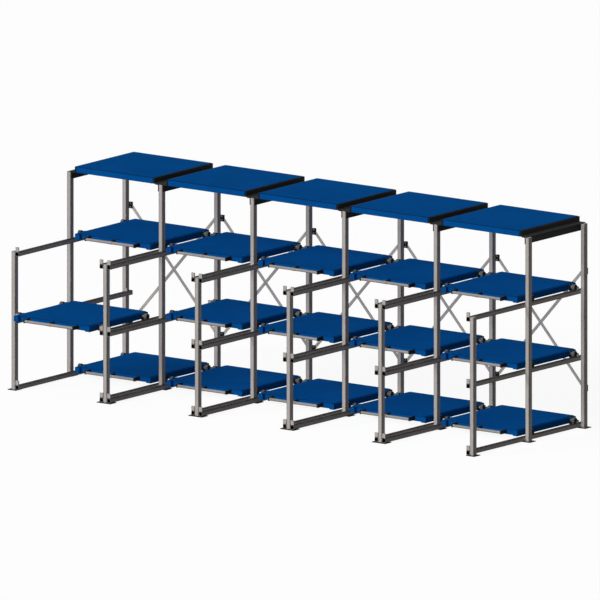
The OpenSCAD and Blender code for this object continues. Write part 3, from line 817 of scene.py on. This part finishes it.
class RACK_OT_bracing(RackPart, bpy.types.Operator):
    """Crossed brace bars with end tabs, the cleat plates behind the posts and all frame bolts"""

    bl_idname = "rack.bracing"
    bl_label = "Bracing"

    def execute(self, context):
        s, _, c = self.values(context)
        heights = np.array([CLEATS[0][2] + s.cleat_height / 2, CLEATS[1][2] - s.cleat_height / 2])
        front = CLEATS[0][1]
        seat = front + s.cleat_thick
        tab_width = s.cleat_reach - s.tab_gap
        tab_ends = POST / 2 + s.cleat_reach - tab_width / 2, heights
        tab = self.plate(tab_width, s.cleat_height, s.brace_thick)
        self.braces(s, c, seat, tab, tab_ends)
        packers = copies(tab, self.ends(*tab_ends, False) + [0, seat, 0])
        self.cleats(s, c, front, heights, packers)
        self.bolts(s, c, front, seat, heights)
        return {"FINISHED"}

    def plate(self, width, height, thick):
        """Upright plate about its middle, with its front face at zero."""
        return turned(bar(rectangle(width, height, 0.002), thick, 0.0008, thin=height), ALONG_Y)

    def ends(self, reach, heights, rising):
        """Places, reach away from the posts, of the ends of the braces that rise, or fall, to the right."""
        left_z, right_z = heights if rising else heights[::-1]
        left = grid(FRAME_X[:-1] + reach, [0], [left_z])
        right = grid(FRAME_X[1:] - reach, [0], [right_z])
        return np.concatenate([left, right])

    def braces(self, s, c, seat, tab, tab_ends):
        """Bars between the brace ends; the falling ones lie a bar's thickness behind the rising ones."""
        thick, wide, heights = s.brace_thick, s.brace_width, tab_ends[1]
        slack = 0.0001
        run = BAY_X[1] - BAY_X[0] - POST - 2 * s.bolt_gap
        rise = heights[1] - heights[0]
        slope = math.atan2(rise, run)
        flat = self.plate(math.hypot(rise, run) - wide / 2, wide, thick - 2 * slack)
        cos, sin = math.cos(slope), math.sin(slope)
        turn = np.array([[cos, 0, -sin], [0, 1, 0], [sin, 0, cos]])
        parts = []
        for rising, y, matrix in ((True, seat, turn), (False, seat + thick, turn.T)):
            parts.append(copies(turned(flat, matrix), grid(BAY_X, [y + slack], [heights.mean()])))
            parts.append(copies(tab, self.ends(*tab_ends, rising) + [0, y, 0]))
        make_piece("braces_painted", [(joined(*parts), stop_paint(c))], RACK, ["braces"])

    def cleats(self, s, c, front, heights, packers):
        """Cleat plates that reach into the bays beside their posts, with beads down the posts' backs."""
        inner, outer = POST + 2 * s.cleat_reach, POST + s.cleat_reach
        middle = self.plate(inner, s.cleat_height, s.cleat_thick)
        end = self.plate(outer, s.cleat_height, s.cleat_thick)
        end_x = [FRAME_X[0] + s.cleat_reach / 2, FRAME_X[-1] - s.cleat_reach / 2]
        corner = POST / 2 - 0.5 * s.post_round
        bead_x = np.r_[FRAME_X - corner, FRAME_X + corner]
        parts = joined(
            copies(middle, grid(FRAME_X[1:-1], [front], heights)),
            copies(end, grid(end_x, [front], heights)),
            packers,
            copies(weld(0.9 * s.cleat_height), grid(bead_x, [front], heights)),
        )
        layers = [(parts, charcoal_paint(c))]
        make_piece("brace_cleats_painted", layers, RACK, ["brace_cleats"])

    def bolts(self, s, c, front, seat, heights):
        """Two bolts through each brace end and its cleat plate, and one through each crossing."""
        thick, reach = s.brace_thick, POST / 2 + s.bolt_gap
        pair = np.array([[0, front, -s.bolt_pitch / 2], [0, front, s.bolt_pitch / 2]])
        crossing = turned(self.bolt(s, 2 * thick), ALONG_Y)
        parts = [copies(crossing, grid(BAY_X, [seat], [heights.mean()]))]
        for rising, grip in ((True, s.cleat_thick + thick), (False, s.cleat_thick + 2 * thick)):
            places = (self.ends(reach, heights, rising)[:, None] + pair).reshape(-1, 3)
            parts.append(copies(turned(self.bolt(s, grip), ALONG_Y), places))
        layers = [(joined(*parts), zinc_plate(c))]
        make_piece("frame_bolts_plated", layers, RACK, ["frame_bolts"])

    def bolt(self, s, grip):
        """Hexagon bolt along Z: head below zero, washers, and a nut and thread end past the grip."""
        d = s.bolt_thick
        head_height, nut_height, tip, thin = 0.64 * d, 0.8 * d, 0.002, 0.0012
        six = hexagon(0.95 * d, 0.0006)
        head = bar(six, head_height, 0.0008, 0.001, thin=d, steps=1)
        nut = bar(six, nut_height, 0.0008, 0.001, thin=d, steps=1)
        washer = bar(circle(0.98 * d, 20), thin, 0.0003, 0.001, thin=d, steps=1)
        thread = bar(circle(0.5 * d, 16), nut_height + tip, 0.001, 0.001, thin=d, steps=1)
        return joined(
            copies(head, [0, 0, -head_height]), copies(washer, [[0, 0, -thin], [0, 0, grip]]),
            copies(nut, [0, 0, grip]), copies(thread, [0, 0, grip]),
        )


class RACK_OT_drawers(RackPart, bpy.types.Operator):
    """Drawers: beams and deck, handle, arms, axle plates, axles and nuts"""

    bl_idname = "rack.drawers"
    bl_label = "Drawers"

    def execute(self, context):
        _, d, c = self.values(context)
        sizes = self.measure(d)
        beams, deck = self.tray(d, *sizes)
        handle, arms = self.handle(d)
        plates, collars, nuts = self.axles(d, *sizes)
        dark = charcoal_paint(c)
        for name in DRAWERS:
            body = "drawer" + name
            place = self.origin(d, name)
            tray = [(copies(beams, place), blue_paint(c)), (copies(deck, place), deck_paint(c))]
            axles = [(copies(collars, place), zinc_plate(c)), (copies(nuts, place), hub_paint(c))]
            make_piece("tray" + name, tray, body, [body])
            make_piece("handle" + name, [(copies(handle, place), handle_paint(c))], body)
            make_piece("handle_arms" + name, [(copies(arms, place), dark)], body)
            make_piece("axle_plates" + name, [(copies(plates, place), dark)], body)
            make_piece("axles" + name, axles, body)
        return {"FINISHED"}

    def origin(self, d, name):
        """Middle of the bay, line of the front axle and underside of the beams."""
        low, high = box("front_wheels" + name)
        underside = box("drawer" + name)[1][2] - d.deck_thick - d.beam
        return np.array([(low[0] + high[0]) / 2, (low[1] + high[1]) / 2, underside])

    def measure(self, d):
        """Tail, axle height, wheelbase and wheel place of every drawer, from the first one's boxes."""
        name = DRAWERS[0]
        start = self.origin(d, name)
        front, rear = box("front_wheels" + name), box("rear_wheels" + name)
        axle_z = (front[0][2] + front[1][2]) / 2 - start[2]
        wheel_x = (front[1][0] - front[0][0] - d.wheel_width) / 2
        return box("drawer" + name)[1][1] - start[1], axle_z, rear[0][1] - front[0][1], wheel_x

    def tray(self, d, tail, *_):
        """Side beams with closed ends, cross beams with welded ends, and the deck with its stitch welds."""
        beam, half = d.beam, d.width / 2
        nose, front = -d.nose_to_axle, d.nose_step - d.nose_to_axle
        square = rectangle(beam, beam, d.beam_round)
        side = turned(bar(square, tail - nose, 0.002, thin=beam), ALONG_Y)
        sides = copies(side, [[half - beam / 2, nose, beam / 2], [beam / 2 - half, nose, beam / 2]])
        cross = turned(bar(square, d.width - 2 * beam, 0.0005, thin=beam), ALONG_X)
        ys = np.linspace(front + beam / 2, tail - beam / 2, d.cross_members + 2)
        crosses = copies(cross, grid([beam - half], ys, [beam / 2]))
        inside, tuck = half - beam, 0.001
        corners = grid([-inside, inside], [front + tuck, tail - tuck], [beam / 2])
        upright = copies(weld(beam * 0.9, 0.0035), corners)
        deck_half, deck_front = half - d.deck_inset, d.deck_back - d.nose_to_axle
        stitch_y = front + (tail - front) * (np.arange(4) + 0.5) / 4
        stitches = grid([-deck_half, deck_half], stitch_y, [beam])
        stitch = copies(turned(weld(0.06, 0.003), ALONG_Y), stitches)
        sheet = rectangle(2 * deck_half, tail - deck_front, 0.008, 0.006)
        plate = bar(sheet, d.deck_thick, 0.0012, 0.006, thin=0.05)
        deck = copies(plate, [0, (deck_front + tail) / 2, beam])
        return joined(sides, crosses, upright, stitch), deck

    def handle(self, d):
        """Tube between two outer arms, with a sleeve held by a middle arm and beads at all the joints."""
        front, middle = d.nose_step - d.nose_to_axle, d.beam / 2
        thick, end = d.handle_thick, d.handle_length / 2 - d.arm_width
        y, z = front - d.handle_reach, middle - d.handle_drop
        rod = turned(bar(circle(thick / 2, 28), 2 * end, 0.0005, thin=thick), ALONG_X)
        rings = [(0, 0, 0), (0.0005, 0.0015, 0), (0.0015, 0.0025, 0)]
        ring = turned(loft(circle(thick / 2 + 0.0015, 28), rings), ALONG_X)
        wide = thick + 2 * d.sleeve_wall
        sleeve = turned(bar(circle(wide / 2, 28), d.sleeve_length, 0.001, thin=wide), ALONG_X)
        handle = joined(
            copies(rod, [-end, y, z]),
            copies(sleeve, [-d.sleeve_length / 2, y, z]),
            both_sides(copies(ring, [-end, y, z])),
        )
        flat = rectangle(d.arm_width, d.arm_height, 0.002)
        long_arm = turned(bar(flat, d.handle_reach + thick / 2, 0.001, thin=d.arm_width), ALONG_Y)
        short_arm = turned(bar(flat, d.handle_reach - wide / 4, 0.001, thin=d.arm_width), ALONG_Y)
        outer = end + d.arm_width / 2
        xs = np.array([-outer, 0, outer])
        sides = np.r_[xs - d.arm_width / 2, xs + d.arm_width / 2]
        feet = copies(weld(d.arm_height), grid(sides, [front], [middle]))
        arms = copies(long_arm, grid([-outer, outer], [y - thick / 2], [middle]))
        return handle, joined(arms, copies(short_arm, [0, y + wide / 4, middle]), feet)

    def axles(self, d, tail, axle_z, wheelbase, wheel_x):
        """Axle plates, the collars inside the wheels, and the flange nuts and thread ends outside them."""
        half, wide = d.width / 2, d.wheel_width / 2
        rows = [[0, 0, axle_z], [0, wheelbase, axle_z]]
        flat = rectangle(d.plate_length, d.plate_height, 0.003)
        plate = turned(bar(flat, d.plate_thick, 0.001, thin=d.plate_length), ALONG_X)
        drop = d.beam - d.plate_height / 2 - axle_z
        plates = copies(both_sides(copies(plate, [half, 0, drop])), rows)
        face, seat = wheel_x + wide - d.hub_recess, half + d.plate_thick
        flange_height, nut_height, stub_height = 0.0025, 0.0075, 0.0078
        collar = bar(circle(d.collar_thick / 2, 24), wheel_x - wide - seat, 0.001, thin=d.collar_thick)
        flange = bar(circle(d.nut_thick / 2, 24), flange_height, 0.0006, 0.001, thin=d.nut_thick)
        nut = bar(hexagon(0.46 * d.nut_thick, 0.0008), nut_height, 0.0008, 0.001, thin=d.nut_thick)
        stub = bar(circle(d.stub_thick / 2, 20), stub_height, 0.0008, 0.001, thin=d.stub_thick)
        inside = copies(collar, [0, 0, seat])
        outside = copies(joined(flange, nut, stub), [0, 0, face])
        collars, nuts = (copies(both_sides(turned(one, ALONG_X)), rows) for one in (inside, outside))
        return plates, collars, nuts


class RACK_OT_wheels(RackPart, bpy.types.Operator):
    """Wheel pairs: tyres on recessed hubs"""

    bl_idname = "rack.wheels"
    bl_label = "Wheels"

    def execute(self, context):
        _, d, c = self.values(context)
        rubber, black = tyre_rubber("tyre_rubber", c.tyre, c.hub), hub_paint(c)
        low, high = box("front_wheels" + DRAWERS[0])
        radius, wide = (high[2] - low[2]) / 2, d.wheel_width / 2
        hub = d.hub_thick / 2
        rim, bore, face = d.hub_rim, hub - d.bore / 2, wide - d.hub_recess
        shoulder, soft = 0.002, 0.0006
        half_tyre = [
            (radius - hub, wide, 0), (shoulder, wide, 1),
            (soft, wide - soft, 1), (0, wide - shoulder, 1),
        ]
        other_half = [(inset, -z, e) for inset, z, e in half_tyre]
        tyre = loft(circle(radius, 48), other_half + half_tyre[::-1], closed=True)
        boss, step, slope = hub - 0.0125, 0.001, 0.002
        rings = [
            (0, -wide, 0), (0, wide - soft, 1), (soft, wide, 1),
            (rim - soft, wide, 1), (rim, wide - soft, 1), (rim + slope, face - step, 0),
            (boss - step, face - step, 0), (boss, face, 1), (bore, face, 0), (bore, -wide, 0),
        ]
        core = loft(circle(hub, 48), rings, closed=True)
        reach = (high[0] - low[0]) / 2 - wide
        tyres = both_sides(copies(turned(tyre, ALONG_X), [reach, 0, 0]))
        cores = both_sides(copies(turned(core, ALONG_X), [reach, 0, 0]))
        for name in DRAWERS:
            for end in ("front_wheels", "rear_wheels"):
                low, high = box(end + name)
                place = (low + high) / 2
                layers = [(copies(tyres, place), rubber), (copies(cores, place), black)]
                make_piece(end + name + "_dressed", layers, end + name, [end + name])
        return {"FINISHED"}


class RACK_OT_stage(bpy.types.Operator):
    """Pale floor, soft studio light and the camera"""

    bl_idname = "rack.stage"
    bl_label = "Stage"

    def execute(self, context):
        scene = context.scene
        scene.view_settings.view_transform = "Standard"
        self.floor(scene)
        self.light(scene)
        self.camera(scene)
        return {"FINISHED"}

    def seen(self, tree):
        """1 for the rays that see the background: from the camera, from gloss and through glass."""
        path = tree.nodes.new("ShaderNodeLightPath").outputs
        straight = math_node(tree, "ADD", path["Is Camera Ray"], path["Is Glossy Ray"])
        return math_node(tree, "ADD", straight, path["Is Transmission Ray"])

    def floor(self, scene):
        """Large flat square that is pale grey to the light and near white to the camera."""
        reach, drop = 90.0, -0.0005
        mesh = bpy.data.meshes.new("floor")
        corners = [
            (-reach, -reach, drop), (reach, -reach, drop), (reach, reach, drop), (-reach, reach, drop),
        ]
        mesh.from_pydata(corners, [], [(0, 1, 2, 3)])
        material, tree, shader = new_material("floor_paint", 0.0)
        shader.inputs["Base Color"].default_value = (0.22, 0.22, 0.22, 1)
        shader.inputs["Roughness"].default_value = 0.9
        shader.inputs["Emission Color"].default_value = (1, 1, 1, 1)
        glow = span_of(tree, self.seen(tree), 0.0, 0.84)
        tree.links.new(glow, shader.inputs["Emission Strength"])
        mesh.materials.append(material)
        floor = bpy.data.objects.new("floor", mesh)
        scene.collection.objects.link(floor)

    def light(self, scene):
        """Even grey sky, soft sun from the front left, and fills from all sides that cast no shadow."""
        world = bpy.data.worlds.new("studio")
        world.use_nodes = True
        tree = world.node_tree
        sky = tree.nodes["Background"]
        sky.inputs["Color"].default_value = (1, 1, 1, 1)
        tree.links.new(span_of(tree, self.seen(tree), 0.10, 1.0), sky.inputs["Strength"])
        scene.world = world
        front = (-0.38, -0.78, 0.50)
        self.sun(scene, "key", 1.05, front, True)
        self.sun(scene, "front_fill", 2.00, front, False)
        self.sun(scene, "back_fill", 1.40, (-0.35, 0.93, 0.08), False)
        self.sun(scene, "right_fill", 0.14, (0.97, 0.10, 0.10), False)

    def sun(self, scene, name, energy, towards, shadow):
        """Sun lamp, wide enough for soft shadows."""
        lamp = bpy.data.lights.new(name, "SUN")
        lamp.energy = energy
        lamp.angle = math.radians(25)
        lamp.use_shadow = shadow
        sun = bpy.data.objects.new(name, lamp)
        sun.visible_glossy = shadow
        sun.rotation_euler = self.facing(np.array(towards))
        scene.collection.objects.link(sun)

    def facing(self, towards):
        """Turn that points an object's own +Z along a direction."""
        x, y, z = towards / np.linalg.norm(towards)
        return (math.acos(z), 0, math.atan2(x, -y))

    def camera(self, scene):
        """Parallel camera at the photograph's angle."""
        azimuth, elevation, away = math.radians(37.1), math.radians(11.0), 12.0
        aim = np.array([0.0, 0.081, 1.057])
        level = math.cos(elevation)
        towards = np.array([
            math.sin(azimuth) * level, -math.cos(azimuth) * level, math.sin(elevation)
        ])
        lens = bpy.data.cameras.new("view")
        lens.type = "ORTHO"
        lens.ortho_scale = 5.742
        lens.clip_end = 200.0
        camera = bpy.data.objects.new("view", lens)
        camera.location = aim + away * towards
        camera.rotation_euler = self.facing(towards)
        scene.collection.objects.link(camera)
        scene.camera = camera


class RACK_PT_panel(bpy.types.Panel):
    """Mould rack tools"""

    bl_idname = "RACK_PT_panel"
    bl_label = "Mould rack"
    bl_space_type = "VIEW_3D"
    bl_region_type = "UI"
    bl_category = "Mould rack"

    def draw(self, context):
        for operator in OPERATORS:
            self.layout.operator(operator.bl_idname)
        scene = context.scene
        for group in (scene.rack_frame_sizes, scene.rack_drawer_sizes, scene.rack_colours):
            column = self.layout.column()
            for key in group.__annotations__:
                column.prop(group, key)


OPERATORS = (
    RACK_OT_posts, RACK_OT_rails, RACK_OT_stops, RACK_OT_top, RACK_OT_bracing, RACK_OT_drawers,
    RACK_OT_wheels, RACK_OT_stage,
)
CLASSES = (RackFrameSizes, RackDrawerSizes, RackColours) + OPERATORS + (RACK_PT_panel,)


def register():
    for one in CLASSES:
        bpy.utils.register_class(one)
    bpy.types.Scene.rack_frame_sizes = bpy.props.PointerProperty(type=RackFrameSizes)
    bpy.types.Scene.rack_drawer_sizes = bpy.props.PointerProperty(type=RackDrawerSizes)
    bpy.types.Scene.rack_colours = bpy.props.PointerProperty(type=RackColours)


def unregister():
    del bpy.types.Scene.rack_frame_sizes
    del bpy.types.Scene.rack_drawer_sizes
    del bpy.types.Scene.rack_colours
    for one in reversed(CLASSES):
        bpy.utils.unregister_class(one)


def main():
    register()
    bpy.ops.rack.stage()
    bpy.ops.rack.posts()
    bpy.ops.rack.rails()
    bpy.ops.rack.stops()
    bpy.ops.rack.top()
    bpy.ops.rack.bracing()
    bpy.ops.rack.drawers()
    bpy.ops.rack.wheels()


if __name__ == "__main__":
    main()
